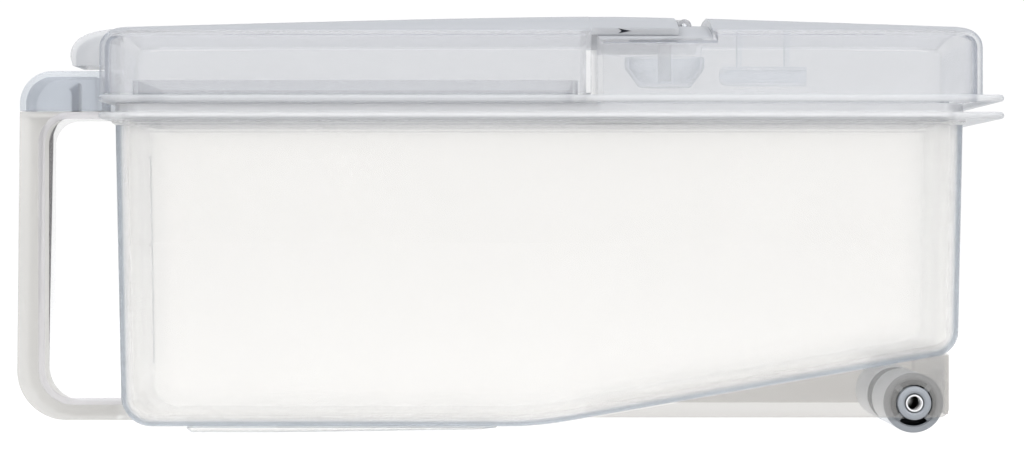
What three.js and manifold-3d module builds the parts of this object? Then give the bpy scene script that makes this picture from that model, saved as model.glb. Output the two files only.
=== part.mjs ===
// Fresh water tank for a built-in steam appliance: a frosted polypropylene tub that slides in on two rails,
// with a pull handle in front, a lift-off lid with a hinged filler flap, and a pair of rollers at the back.
// Millimetres. X runs from the handle to the back, Z is up. The origin is the centre of the footprint.
import * as THREE from 'three';
import { LoftGeometry } from 'three/addons/geometries/LoftGeometry.js';
import { mergeVertices } from 'three/addons/utils/BufferGeometryUtils.js';
import Module from 'manifold-3d';

const wasm = await Module();
wasm.setup();

// Driving dimensions
const overallLength = 342.6;
const overallWidth = 140;
const wall = 2.4;
const thinWall = 1.8;
const gap = 0.3;

const frontEnd = -overallLength / 2;
const rearEnd = overallLength / 2;
const flangeHalf = overallWidth / 2;

// Tub
const tubFront = -133.2;
const tubRear = 158;
const tubHalf = 65;
const tubBottom = 2;
const rimLow = 107.4;
const rimHigh = rimLow + wall;
const upstandTop = 113;
const planCorner = 9;
const sideFillet = 8;
const frontToeRadius = 10.3;
const rearToeRadius = 7;
const slopeAngle = THREE.MathUtils.degToRad(9.85);
const slopeStart = 6;
const slopeBlend = 11;
const lengthDraft = 0.00013;
const widthDraft = 0.00029;

// Lid
const lidFront = -138.3;
const lidRear = 164.4;
const plateLow = 113.3;
const plateHigh = plateLow + wall;
const domeHalf = 69;
const shoulderHeight = 138.2;
const shoulderFillet = 3;
const crestX = 38;
const crestHeight = 145.2;
const crestDrop = 4.4;
const crownHalf = 67;
const domeCorner = 9;
const endFillet = 7;
const flapRear = 30.2;
const lidSplit = 32.3;
const flapLow = 116.3;
const shelfDepth = 2.8;
const bandFront = 71.5;
const tongueThickness = 2.2;
const tongueSink = 0.1;
const lipFront = -152.4;
const lipHalf = 20;

// Filler opening in the lid, and the collar that seats in the tub
const fillerFront = -126;
const fillerRear = 24;
const fillerHalf = 56;
const fillerTop = 121;
const collarFront = -128.6;
const collarRear = 153.4;
const collarHalf = 60.2;
const collarLow = 106.5;
const collarThickness = 1.6;

// Flap hinge
const hingeX = 63.4;
const hingeZ = 140.7;
const barrelRadius = 2.6;
const barrelHalf = 24;
const pinRadius = 1.1;
const pinBore = 1.4;
const earWidth = 5.5;

// Handle
const handleHalf = 18.5;
const handleRear = -138.6;
const channelWall = 2;
const handleOuterRadius = 17.5;
const handleInnerRadius = 10;
const handleTopRadius = 8.5;
const legLow = 2.5;
const legHigh = 10.3;
const gripInner = -161.4;
const gripThickness = 2.4;
const bridgeLow = 108.6;
const bridgeTop = 111.2;
const capLow = 111.5;
const capTop = 125.5;
const capRadius = 11.5;

// Rollers and skirts
const rollerX = 140.7;
const rollerRadius = 10.3;
const journalRadius = 5.75;
const seatRadius = 6.3;
const skirtOuter = 62.9;
const skirtInner = 60.5;
const skirtLow = 5.4;
const skirtFront = 28;
const skirtRear = 152.6;
const skirtCorner = 3.4;
const seatMouthHalf = 5.4;
const seatNeckHalf = 3.4;
const crossbarThickness = 1.3;

// Colours of the materials
const clearPlastic = { color: 0xdfe6ea, roughness: 0.35, metalness: 0 };
const capPlastic = { color: 0xb9c4cc, roughness: 0.35, metalness: 0 };
const softSilicone = { color: 0xe8ecec, roughness: 0.6, metalness: 0 };
const rollerPlastic = { color: 0x8b98a2, roughness: 0.45, metalness: 0 };
const darkPrint = { color: 0x1c2024, roughness: 0.6, metalness: 0 };
const stainless = { color: 0xc9cdd0, roughness: 0.2, metalness: 1 };

const model = new THREE.Group();

function solidOf(geometry) {
  const bare = new THREE.BufferGeometry().copy(geometry);
  bare.deleteAttribute('normal');
  bare.deleteAttribute('uv');
  const merged = mergeVertices(bare, 1e-4);
  const mesh = new wasm.Mesh({
    numProp: 3,
    vertProperties: merged.getAttribute('position').array,
    triVerts: new Uint32Array(merged.getIndex().array),
  });
  return new wasm.Manifold(mesh);
}

function geometryOf(solid) {
  const mesh = solid.getMesh();
  const geometry = new THREE.BufferGeometry();
  geometry.setAttribute('position', new THREE.BufferAttribute(mesh.vertProperties, 3));
  geometry.setIndex(new THREE.BufferAttribute(mesh.triVerts, 1));
  geometry.computeVertexNormals();
  return geometry;
}

function addPart(name, solid, look) {
  const mesh = new THREE.Mesh(geometryOf(solid), new THREE.MeshStandardMaterial(look));
  mesh.name = name;
  model.add(mesh);
}

// An outline in the XZ plane made into a slab from y0 to y1
function slab(shape, y0, y1, curveSegments = 8) {
  const geometry = new THREE.ExtrudeGeometry(shape, { depth: y1 - y0, bevelEnabled: false, curveSegments });
  geometry.rotateX(Math.PI / 2);
  geometry.translate(0, y1, 0);
  return solidOf(geometry);
}

// An outline in the XY plane made into a plate from z0 to z1
function plate(shape, z0, z1, curveSegments = 4) {
  const geometry = new THREE.ExtrudeGeometry(shape, { depth: z1 - z0, bevelEnabled: false, curveSegments });
  geometry.translate(0, 0, z0);
  return solidOf(geometry);
}

function box(x0, x1, y0, y1, z0, z1) {
  const geometry = new THREE.BoxGeometry(x1 - x0, y1 - y0, z1 - z0);
  geometry.translate((x0 + x1) / 2, (y0 + y1) / 2, (z0 + z1) / 2);
  return solidOf(geometry);
}

// A round bar along Y
function barY(radius, x, z, y0, y1, segments = 24) {
  const geometry = new THREE.CylinderGeometry(radius, radius, y1 - y0, segments);
  geometry.translate(x, (y0 + y1) / 2, z);
  return solidOf(geometry);
}

function roundedRectangle(x0, x1, y0, y1, radius) {
  const shape = new THREE.Shape();
  shape.moveTo(x0 + radius, y0);
  shape.lineTo(x1 - radius, y0);
  shape.absarc(x1 - radius, y0 + radius, radius, -Math.PI / 2, 0);
  shape.lineTo(x1, y1 - radius);
  shape.absarc(x1 - radius, y1 - radius, radius, 0, Math.PI / 2);
  shape.lineTo(x0 + radius, y1);
  shape.absarc(x0 + radius, y1 - radius, radius, Math.PI / 2, Math.PI);
  shape.lineTo(x0, y0 + radius);
  shape.absarc(x0 + radius, y0 + radius, radius, Math.PI, 1.5 * Math.PI);
  return shape;
}

function polygon(points) {
  return new THREE.Shape(points.map(([x, y]) => new THREE.Vector2(x, y)));
}

// How far a quarter-round edge of this radius still falls short at a distance from its end
function roundOff(distance, radius) {
  if (distance >= radius) return 0;
  const reach = radius - Math.max(distance, 0);
  return radius - Math.sqrt(radius * radius - reach * reach);
}

function stations(start, end, radii, inner) {
  const found = new Set([start, end, ...inner.filter((x) => x > start && x < end)]);
  const steps = 4;
  for (const radius of radii) {
    for (let i = 1; i <= steps; i += 1) {
      const reach = radius * (1 - Math.cos((i / steps) * (Math.PI / 2)));
      found.add(start + reach);
      found.add(end - reach);
    }
  }
  return [...found].sort((a, b) => a - b).filter((x, i, all) => i === 0 || x - all[i - 1] > 0.02);
}

// Height of the tub's floor outside: level in front, then rising to the back
function floorHeight(x) {
  const rise = Math.tan(slopeAngle);
  const past = x - slopeStart;
  if (past <= -slopeBlend) return tubBottom;
  if (past >= slopeBlend) return tubBottom + rise * past;
  return tubBottom + (rise * (past + slopeBlend) ** 2) / (4 * slopeBlend);
}

// The tub as a loft of upright U-shaped sections, shrunk by an inset, up to a top height
function tubSolid(inset, top) {
  const x0 = tubFront + inset;
  const x1 = tubRear - inset;
  const corner = Math.max(planCorner - inset, 2);
  const toe = frontToeRadius - inset;
  const heel = rearToeRadius - inset;
  const fillet = sideFillet - inset;
  const slopeStations = [-6, 0, 6, 12, 18, 60, 110];
  const sections = stations(x0, x1, [corner, toe, heel], slopeStations).map((x) => {
    const half = tubHalf - inset - roundOff(x - x0, corner) - roundOff(x1 - x, corner);
    const low = floorHeight(x) + inset + roundOff(x - x0, toe) + roundOff(x1 - x, heel);
    const ring = [[-half, top]];
    const steps = 4;
    for (let i = 0; i <= steps; i += 1) {
      const a = (i / steps) * (Math.PI / 2);
      ring.push([-half + fillet * (1 - Math.cos(a)), low + fillet * (1 - Math.sin(a))]);
    }
    for (let i = steps; i >= 0; i -= 1) {
      const a = (i / steps) * (Math.PI / 2);
      ring.push([half - fillet * (1 - Math.cos(a)), low + fillet * (1 - Math.sin(a))]);
    }
    ring.push([half, top]);
    return ring.map(([y, z]) => new THREE.Vector3(x, y, z));
  });
  const geometry = new LoftGeometry(sections, { capStart: true, capEnd: true });
  return solidOf(drafted(geometry));
}

// The mould's draft: everything narrows a little towards the bottom
function drafted(geometry) {
  const position = geometry.getAttribute('position');
  const middle = (tubFront + tubRear) / 2;
  for (let i = 0; i < position.count; i += 1) {
    const depth = Math.max(rimHigh - position.getZ(i), 0);
    position.setX(i, middle + (position.getX(i) - middle) * (1 - lengthDraft * depth));
    position.setY(i, position.getY(i) * (1 - widthDraft * depth));
  }
  return geometry;
}

// Height of the lid's crown along its centre line
function crestAt(x) {
  if (x < crestX) return crestHeight - crestDrop * ((crestX - x) / (crestX - lidFront)) ** 1.5;
  return crestHeight - crestDrop * ((x - crestX) / (lidRear - crestX)) ** 1.3;
}

function crownAt(x, y) {
  const across = Math.min(Math.abs(y) / crownHalf, 1);
  return shoulderHeight + (crestAt(x) - shoulderHeight) * (1 - across * across);
}

// A dome of the lid between two X positions. Ends in roundEnds get plan corners and a rounded top edge.
function domeSolid(x0, x1, inset, low, drop, roundEnds) {
  const start = x0 + inset;
  const end = x1 - inset;
  const half = domeHalf - inset;
  const corner = domeCorner - inset;
  const edge = endFillet - inset;
  const fillet = Math.max(shoulderFillet - inset, 0.8);
  const crownSteps = 8;
  const filletSteps = 2;
  const radii = [corner, edge];
  const sections = stations(start, end, radii, [-110, -80, -50, -20, 10, 38, 60, 90, 120, 145]).map((x) => {
    const fromStart = roundEnds.start ? x - start : Infinity;
    const fromEnd = roundEnds.end ? end - x : Infinity;
    const width = half - roundOff(fromStart, corner) - roundOff(fromEnd, corner);
    const sink = inset + drop + roundOff(fromStart, edge) + roundOff(fromEnd, edge);
    const shoulder = crownAt(x, width) - sink;
    const side = [];
    for (let i = 0; i < filletSteps; i += 1) {
      const a = (i / filletSteps) * (Math.PI / 2);
      side.push([width - fillet * (1 - Math.cos(a)), shoulder - fillet * (1 - Math.sin(a))]);
    }
    const crown = [];
    for (let i = 0; i <= crownSteps; i += 1) {
      const y = (width - fillet) * (1 - (2 * i) / crownSteps);
      crown.push([y, crownAt(x, y) - sink]);
    }
    const far = side.map(([y, z]) => [-y, z]).reverse();
    const ring = [[-width, low], [width, low], ...side, ...crown, ...far];
    return ring.map(([y, z]) => new THREE.Vector3(x, y, z));
  });
  return solidOf(new LoftGeometry(sections, { capStart: true, capEnd: true }));
}

function makeTub() {
  const flange = plate(roundedRectangle(lidFront, rearEnd, -flangeHalf, flangeHalf, 6), rimLow, rimHigh);
  const ribHalf = tubHalf + 1.2;
  const rib = plate(roundedRectangle(tubFront - 1.2, tubRear + 1.2, -ribHalf, ribHalf, 10), 106, rimLow + 0.6);
  const outside = tubSolid(0, upstandTop).add(flange).add(rib);
  addPart('tank_tub', outside.subtract(tubSolid(wall, upstandTop + 10)), clearPlastic);
}

const tubClearance = tubSolid(-gap, rimHigh);

// Side skirts below the rising floor. Each has a snap seat, open below, for a roller's journal.
function makeSkirts() {
  const outline = new THREE.Shape();
  const top = floorHeight(skirtRear) + sideFillet;
  outline.moveTo(skirtFront, skirtLow);
  outline.lineTo(skirtRear - skirtCorner, skirtLow);
  outline.absarc(skirtRear - skirtCorner, skirtLow + skirtCorner, skirtCorner, -Math.PI / 2, 0);
  outline.lineTo(skirtRear, top);
  outline.lineTo(skirtFront, top);
  const mouth = polygon([
    [rollerX - seatMouthHalf, skirtLow - 1],
    [rollerX + seatMouthHalf, skirtLow - 1],
    [rollerX + seatNeckHalf, skirtLow + 1.6],
    [rollerX - seatNeckHalf, skirtLow + 1.6],
  ]);
  for (const [name, side] of [['skirt_left', 1], ['skirt_right', -1]]) {
    const y0 = side > 0 ? skirtInner : -skirtOuter;
    const y1 = side > 0 ? skirtOuter : -skirtInner;
    const seat = barY(seatRadius, rollerX, rollerRadius, y0 - 1, y1 + 1, 40);
    const panel = slab(outline, y0, y1).subtract(tubClearance);
    addPart(name, panel.subtract(seat).subtract(slab(mouth, y0 - 1, y1 + 1)), clearPlastic);
  }
  const barHalf = skirtInner - gap;
  const bar = box(skirtRear - crossbarThickness, skirtRear, -barHalf, barHalf, skirtLow + 1, top);
  addPart('rear_crossbar', bar.subtract(tubClearance), clearPlastic);
}

// Two runners under the level part of the floor, deepest at the front
function makeRunners() {
  const outline = polygon([
    [-109, tubBottom - gap],
    [-107, 0],
    [-78, 0],
    [-8, 1],
    [-2, tubBottom - gap],
  ]);
  addPart('runner_left', slab(outline, 50, 56), clearPlastic);
  addPart('runner_right', slab(outline, -56, -50), clearPlastic);
}

// Outline of the handle loop at an offset from its outer edge on the one side and its grip face on the other
function handleOutline(outward, inward) {
  const outerX = frontEnd - outward;
  const innerX = gripInner - inward;
  const outerArc = handleOuterRadius + outward;
  const innerArc = handleInnerRadius + inward;
  const topArc = handleTopRadius + inward;
  const outerCentre = [frontEnd + handleOuterRadius, legLow + handleOuterRadius];
  const innerCentre = [gripInner + handleInnerRadius, legHigh + handleInnerRadius];
  const topCentre = [gripInner + handleTopRadius, bridgeLow - handleTopRadius];
  const legEnd = tubFront + frontToeRadius + 1;
  const shape = new THREE.Shape();
  shape.moveTo(outerX + 1, bridgeTop);
  shape.lineTo(outerX, outerCentre[1]);
  shape.absarc(...outerCentre, outerArc, Math.PI, 1.5 * Math.PI);
  shape.lineTo(legEnd, legLow - outward);
  shape.lineTo(legEnd, legHigh - inward);
  shape.lineTo(innerCentre[0], legHigh - inward);
  shape.absarc(...innerCentre, innerArc, 1.5 * Math.PI, Math.PI, true);
  shape.lineTo(innerX, topCentre[1]);
  shape.absarc(...topCentre, topArc, Math.PI, Math.PI / 2, true);
  shape.lineTo(handleRear, bridgeLow + inward);
  shape.lineTo(handleRear, bridgeTop);
  return shape;
}

// The handle loop: a channel open to the outside, from the rim down to the foot of the tub
function makeHandle() {
  const body = slab(handleOutline(0, 0), -handleHalf, handleHalf);
  const channelHalf = handleHalf - channelWall;
  const below = box(frontEnd - 20, tubFront - 2.8, -channelHalf, channelHalf, -10, bridgeTop - 2);
  const channel = slab(handleOutline(8, gripThickness), -channelHalf, channelHalf).intersect(below);
  const hangingLip = box(handleRear - 3, handleRear, -handleHalf, handleHalf, rimLow, bridgeTop);
  const loop = body.subtract(channel).add(hangingLip);
  addPart('handle_loop', loop.subtract(tubClearance), clearPlastic);

  const capFront = frontEnd + 1;
  const capOutline = (inset, low) => {
    const shape = new THREE.Shape();
    shape.moveTo(handleRear, low);
    shape.lineTo(handleRear, capTop - inset);
    shape.lineTo(capFront + capRadius, capTop - inset);
    shape.absarc(capFront + capRadius, capTop - capRadius, capRadius - inset, Math.PI / 2, Math.PI);
    shape.lineTo(capFront + inset, low);
    return shape;
  };
  const shell = slab(capOutline(0, capLow), -handleHalf, handleHalf);
  const inside = slab(capOutline(channelWall, capLow - 5), -channelHalf, channelHalf);
  const back = box(handleRear - 5.4, handleRear - 3, -handleHalf, handleHalf, capLow, capTop);
  addPart('handle_cap', shell.subtract(inside).add(back), capPlastic);

  const hook = polygon([
    [-153.5, capLow],
    [-150.9, capLow],
    [-150.9, 121.8],
    [-154.6, 119.4],
    [-153.5, 118.6],
  ]);
  addPart('cap_hook', slab(hook, -5, 5), capPlastic);
}

// The lid frame: a flange plate round the filler opening, the fixed rear dome, and a collar that seats in the tub
function makeLidFrame() {
  const footprint = plate(roundedRectangle(lidFront, rearEnd, -flangeHalf, flangeHalf, 6), plateLow, plateHigh);
  const shelf = domeSolid(lidSplit, bandFront + 1, 0, plateHigh - 0.2, shelfDepth, { start: false, end: false });
  const band = domeSolid(bandFront, lidRear, 0, plateHigh - 0.2, 0, { start: false, end: true });
  const shelfHollow = domeSolid(lidSplit, bandFront + 4, thinWall, plateLow - 2, shelfDepth, {
    start: false,
    end: false,
  });
  const bandHollow = domeSolid(bandFront, lidRear, thinWall, plateLow - 2, 0, { start: false, end: true });
  const knuckleHalf = barrelHalf + gap + earWidth;
  const knuckleBlock = box(hingeX - 5.5, hingeX + 6.5, -knuckleHalf, knuckleHalf, hingeZ - 5, hingeZ + 1);
  const hingeRoom = barY(barrelRadius + 0.9, hingeX, hingeZ, -barrelHalf - gap, barrelHalf + gap, 28);
  let frame = footprint.add(shelf).add(band).subtract(shelfHollow).subtract(bandHollow);
  frame = frame.add(knuckleBlock.intersect(shelf));
  for (const side of [-1, 1]) {
    const y0 = side > 0 ? barrelHalf + gap : -knuckleHalf;
    frame = frame.add(barY(barrelRadius - 0.1, hingeX, hingeZ, y0, y0 + earWidth, 28));
  }
  frame = frame.subtract(hingeRoom);
  const outline = (x0, x1, half, grow, radius) =>
    roundedRectangle(x0 - grow, x1 + grow, -half - grow, half + grow, radius);
  const fillerOuter = plate(outline(fillerFront, fillerRear, fillerHalf, thinWall, 8), plateLow, fillerTop);
  const fillerInner = plate(outline(fillerFront, fillerRear, fillerHalf, 0, 6.2), plateLow - 10, fillerTop + 4);
  frame = frame.add(fillerOuter).subtract(fillerInner);
  const collarTop = plateLow + 0.5;
  const collarOuter = plate(outline(collarFront, collarRear, collarHalf, 0, 6), collarLow, collarTop);
  const collarInner = plate(outline(collarFront, collarRear, collarHalf, -collarThickness, 4.4), 100, collarTop);
  frame = frame.add(collarOuter.subtract(collarInner));
  const pinRoom = barY(pinBore, hingeX, hingeZ, -knuckleHalf - 2, knuckleHalf + 2, 24);
  addPart('lid_frame', frame.subtract(pinRoom), clearPlastic);

  const sealOuter = plate(outline(collarFront, collarRear, collarHalf + 0.2, 1.8, 6.4), 108.4, upstandTop);
  const sealInner = plate(outline(collarFront, collarRear, collarHalf, gap, 6.2), 100, fillerTop);
  addPart('lid_seal', sealOuter.subtract(sealInner), softSilicone);

  const pinHalf = barrelHalf + earWidth;
  addPart('flap_hinge_pin', barY(pinRadius, hingeX, hingeZ, -pinHalf, pinHalf, 20), stainless);
}

// The filler flap: the front dome with a finger lip, and a tongue at the back that ends in the hinge barrel
function makeFlap() {
  const ends = { start: true, end: false };
  const dome = domeSolid(lidFront, flapRear, 0, flapLow, 0, ends);
  const hollow = domeSolid(lidFront, flapRear, thinWall, flapLow - 2, 0, ends);
  const tongueHalf = 65.5;
  const tongueSteps = 8;
  const tongueSections = [flapRear - 2, 38, 46, 54, hingeX - 3.4].map((x) => {
    const top = [];
    const under = [];
    for (let i = 0; i <= tongueSteps; i += 1) {
      const y = tongueHalf * (1 - (2 * i) / tongueSteps);
      top.push(new THREE.Vector3(x, y, crownAt(x, y) - tongueSink));
      under.unshift(new THREE.Vector3(x, y, crownAt(x, y) - tongueSink - tongueThickness));
    }
    return [...top, ...under];
  });
  const tongue = solidOf(new LoftGeometry(tongueSections, { capStart: true, capEnd: true }));
  const barrel = barY(barrelRadius, hingeX, hingeZ, -barrelHalf, barrelHalf, 28);
  const neck = box(hingeX - 4, hingeX - 1, -barrelHalf, barrelHalf, hingeZ + 1.7, hingeZ + 2.5);
  const bore = barY(pinBore, hingeX, hingeZ, -barrelHalf - 1, barrelHalf + 1, 24);

  const lipOutline = (inset) => {
    const shape = new THREE.Shape();
    shape.moveTo(lidFront + 1, 127.2 - inset * 3);
    shape.lineTo(lidFront + 1, 140.2 - inset);
    shape.bezierCurveTo(-146, 139.6 - inset, lipFront + inset, 137.2 - inset, lipFront + inset, 130.5);
    shape.lineTo(lipFront + 0.7 + inset, 127.2 - inset * 3);
    return shape;
  };
  const lipInside = slab(lipOutline(thinWall), thinWall - lipHalf, lipHalf - thinWall);
  const beforeFlap = box(lipFront - 5, lidFront, -lipHalf, lipHalf, 120, 150);
  const lip = slab(lipOutline(0), -lipHalf, lipHalf).subtract(lipInside.intersect(beforeFlap));
  const flap = dome.subtract(hollow).add(lip).add(tongue).add(barrel).add(neck).subtract(bore);
  addPart('filler_flap', flap, clearPlastic);

  // A small arrow on the tongue's side face, pointing to the back
  const dart = polygon([
    [39.4, 138.35],
    [43.8, 137.5],
    [39.4, 136.65],
    [40.5, 137.5],
  ]);
  addPart('flap_arrow', slab(dart, -tongueHalf - 2 * gap, -tongueHalf - gap), darkPrint);
}

// Inside the fixed dome: a drip cup under the tongue, and a short vent tube behind it
function makeVent() {
  const cup = [
    [0, 120.2],
    [9.3, 120.2],
    [14.2, 126.7],
    [14.2, 131],
    [12.6, 131],
    [12.6, 127.2],
    [8.4, 121.8],
    [2.6, 121.8],
    [2.6, 135.3],
    [0, 135.3],
  ];
  const geometry = new THREE.LatheGeometry(cup.map(([r, z]) => new THREE.Vector2(r, z)), 32);
  geometry.rotateX(Math.PI / 2);
  geometry.translate(57.5, 0, 0);
  addPart('drip_cup', solidOf(geometry), clearPlastic);

  const tube = [
    [2.3, -15.5],
    [3.5, -15.5],
    [3.5, 13],
    [2.2, 15.2],
    [1, 15.5],
    [1, 14],
    [2.3, 12.6],
    [2.3, -15.5],
  ];
  const tubeGeometry = new THREE.LatheGeometry(tube.map(([r, z]) => new THREE.Vector2(r, z)), 24);
  tubeGeometry.rotateZ(Math.PI / 2);
  tubeGeometry.translate(92.5, 0, 124.2);
  let vent = solidOf(tubeGeometry);
  for (const x of [84, 101]) {
    vent = vent.add(box(x - 0.8, x + 0.8, -5, 5, 127.2, crownAt(x, 5) - thinWall - gap - 0.1));
  }
  addPart('vent_tube', vent, clearPlastic);
}

// Filling scale: a spine with graduation ticks, on the inside of the tub's front wall
function makeScale() {
  const x0 = tubFront + wall + gap;
  const x1 = x0 + 0.6;
  const spineY = 50;
  const low = 21;
  const high = 96;
  const tickCount = 8;
  const piece = (y0, y1, z0, z1) => {
    const geometry = new THREE.BoxGeometry(x1 - x0, y1 - y0, z1 - z0);
    geometry.translate((x0 + x1) / 2, (y0 + y1) / 2, (z0 + z1) / 2);
    return solidOf(drafted(geometry));
  };
  let scale = piece(spineY - 0.6, spineY + 0.6, low - 0.5, high + 0.5);
  for (let i = 0; i < tickCount; i += 1) {
    const z = low + ((high - low) * i) / (tickCount - 1);
    scale = scale.add(piece(spineY - 5, spineY, z - 0.5, z + 0.5));
  }
  addPart('level_scale', scale, capPlastic);
}

// One roller: a wide rim inside the skirt and a journal that passes through the snap seat
function makeRollers() {
  const inner = 12;
  const outer = skirtInner - 0.6;
  const journalEnd = 64.2;
  const bore = 3.4;
  const profile = [
    [bore, inner],
    [rollerRadius - 0.6, inner],
    [rollerRadius, inner + 0.6],
    [rollerRadius, outer - 0.6],
    [rollerRadius - 0.6, outer],
    [journalRadius, outer],
    [journalRadius, journalEnd - 0.5],
    [journalRadius - 0.5, journalEnd],
    [bore, journalEnd],
    [bore, inner],
  ];
  const slotInner = 5.8;
  const slotOuter = 7.9;
  const slotHalfAngle = THREE.MathUtils.degToRad(36);
  const slotDepth = 13;
  for (const [name, side] of [['roller_left', 1], ['roller_right', -1]]) {
    const geometry = new THREE.LatheGeometry(profile.map(([r, y]) => new THREE.Vector2(r, y)), 40);
    geometry.translate(rollerX, 0, rollerRadius);
    let roller = solidOf(geometry);
    for (let i = 0; i < 4; i += 1) {
      const middle = (i * Math.PI) / 2;
      const slot = new THREE.Shape();
      slot.absarc(rollerX, rollerRadius, slotOuter, middle - slotHalfAngle, middle + slotHalfAngle);
      slot.absarc(rollerX, rollerRadius, slotInner, middle + slotHalfAngle, middle - slotHalfAngle, true);
      roller = roller.subtract(slab(slot, outer - slotDepth, outer + 0.01, 8));
    }
    if (side < 0) {
      roller = roller.mirror([0, 1, 0]);
    }
    addPart(name, roller, rollerPlastic);
  }
  const tubeHalf = 63.6;
  const tubeOuter = 3.1;
  const tubeInner = 2.4;
  const tube = [
    [tubeInner, -tubeHalf],
    [tubeOuter, -tubeHalf],
    [tubeOuter, tubeHalf],
    [tubeInner, tubeHalf],
    [tubeInner, -tubeHalf],
  ];
  const tubeGeometry = new THREE.LatheGeometry(tube.map(([r, y]) => new THREE.Vector2(r, y)), 32);
  tubeGeometry.translate(rollerX, 0, rollerRadius);
  addPart('axle_tube', solidOf(tubeGeometry), stainless);
}

makeTub();
makeSkirts();
makeRunners();
makeHandle();
makeLidFrame();
makeFlap();
makeVent();
makeScale();
makeRollers();

export default model;
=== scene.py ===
"""Looks of the fresh water tank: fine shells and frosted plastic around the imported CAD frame."""
import math

import bmesh
import bpy
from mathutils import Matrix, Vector


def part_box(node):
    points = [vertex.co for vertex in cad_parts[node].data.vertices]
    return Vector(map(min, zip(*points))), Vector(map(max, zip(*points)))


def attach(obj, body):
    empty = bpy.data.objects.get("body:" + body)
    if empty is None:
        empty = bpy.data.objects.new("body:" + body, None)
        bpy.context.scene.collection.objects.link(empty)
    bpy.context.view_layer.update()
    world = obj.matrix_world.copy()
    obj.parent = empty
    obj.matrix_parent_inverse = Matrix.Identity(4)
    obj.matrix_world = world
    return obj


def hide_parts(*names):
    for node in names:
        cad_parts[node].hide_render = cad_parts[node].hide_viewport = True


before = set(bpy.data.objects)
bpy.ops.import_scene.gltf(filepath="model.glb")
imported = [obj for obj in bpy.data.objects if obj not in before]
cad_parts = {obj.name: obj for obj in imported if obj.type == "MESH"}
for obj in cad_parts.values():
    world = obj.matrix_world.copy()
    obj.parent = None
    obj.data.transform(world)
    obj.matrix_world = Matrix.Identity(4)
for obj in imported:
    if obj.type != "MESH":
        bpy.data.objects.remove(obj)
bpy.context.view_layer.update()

# The script works in millimetres in the frame's axes and turns them into metres when a mesh is made.
MM = 0.001


def box_mm(node):
    low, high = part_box(node)
    return low / MM, high / MM


# Driving dimensions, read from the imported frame
TUB_LOW, TUB_HIGH = box_mm("tank_tub")
LID_LOW = box_mm("lid_frame")[0]
FLAP_LOW = box_mm("filler_flap")[0]
LOOP_LOW, LOOP_HIGH = box_mm("handle_loop")
CAP_LOW, CAP_HIGH = box_mm("handle_cap")
SKIRT_LOW, SKIRT_HIGH = box_mm("skirt_right")
ROLLER_LOW, ROLLER_HIGH = box_mm("roller_right")
TUBE_LOW, TUBE_HIGH = box_mm("axle_tube")
CUP_LOW, CUP_HIGH = box_mm("drip_cup")
VENT_LOW, VENT_HIGH = box_mm("vent_tube")
SEAL_LOW, SEAL_HIGH = box_mm("lid_seal")
PIN_LOW, PIN_HIGH = box_mm("flap_hinge_pin")
ARROW_LOW, ARROW_HIGH = box_mm("flap_arrow")
SCALE_LOW, SCALE_HIGH = box_mm("level_scale")

WALL = 2.4
THIN = 1.8
GAP = 0.3
SMOOTH_ANGLE = 32.0
FLANGE_HALF = TUB_HIGH.y
FLANGE_FRONT = TUB_LOW.x
FLANGE_REAR = TUB_HIGH.x
RIM_LOW = 107.4
RIM_HIGH = RIM_LOW + WALL
UPSTAND_TOP = TUB_HIGH.z
RIB_LOW = 106.0
RIB_REACH = 1.2
WALL_TOP = 105.5
TUB_FRONT = FLANGE_FRONT + 5.1
TUB_REAR = 158.0
TUB_HALF = 65.0
TUB_BOTTOM = TUB_LOW.z
PLAN_CORNER = 9.0
FILLETS = (10.3, 8.0, 7.0)
SLOPE_RISE = math.tan(math.radians(9.85))
# The floor starts to rise a little further back than in the CAD, which lowers the rising part by 1 mm
SLOPE_START = 11.8
SLOPE_BLEND = 11.0
LENGTH_DRAFT = 0.00013
WIDTH_DRAFT = 0.00029

PLATE_LOW = 113.3
PLATE_HIGH = PLATE_LOW + WALL
DOME_HALF = 69.0
LID_REAR = 164.4
SHOULDER = 138.2
CREST_X = 38.0
CREST = 145.2
CREST_DROP = 4.4
CROWN_HALF = 67.0
DOME_CORNER = 9.0
SHOULDER_FILLET = 3.0
END_FILLET = 7.0
# (front, rear, half width) of the filler opening and of the collar that goes into the tub's upstand
FILLER_RECT = (-126, 24, 56)
SEAT_RECT = (-128.6, 153.4, 60.2)
SEAT_WALL = 1.6
FLAP_REAR = 30.2
LID_SPLIT = 32.3
FLAP_BOTTOM = 116.3
SHELF_DEPTH = 2.8
BAND_FRONT = 71.5
TONGUE_THICK = 2.2
TONGUE_SINK = 0.1
HINGE_X = (PIN_LOW.x + PIN_HIGH.x) / 2
HINGE_Z = (PIN_LOW.z + PIN_HIGH.z) / 2
BARREL_R = 2.6
BARREL_HALF = 24.0
PIN_BORE = 1.4
EAR_WIDTH = 5.5

GRIP_INNER = -161.4
GRIP_THICK = 2.4
BRIDGE_LOW = 108.6
BRIDGE_TOP = LOOP_HIGH.z
BRIDGE_END = -138.6

ROLLER_X = (ROLLER_LOW.x + ROLLER_HIGH.x) / 2
ROLLER_Z = (ROLLER_LOW.z + ROLLER_HIGH.z) / 2
ROLLER_R = 10.3
JOURNAL_R = 5.75
SEAT_R = 6.3
HUB_BORE = 3.4


# ---------------------------------------------------------------- mesh helpers

def new_object(name, verts, faces):
    """A mesh object from points in millimetres, shaded smooth across its flatter edges."""
    mesh = bpy.data.meshes.new(name)
    mesh.from_pydata([Vector(v) * MM for v in verts], [], faces)
    bm = bmesh.new()
    bm.from_mesh(mesh)
    bmesh.ops.remove_doubles(bm, verts=bm.verts, dist=1e-7)
    bmesh.ops.recalc_face_normals(bm, faces=bm.faces)
    bm.to_mesh(mesh)
    bm.free()
    obj = bpy.data.objects.new(name, mesh)
    bpy.context.scene.collection.objects.link(obj)
    smooth(obj)
    return obj


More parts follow.
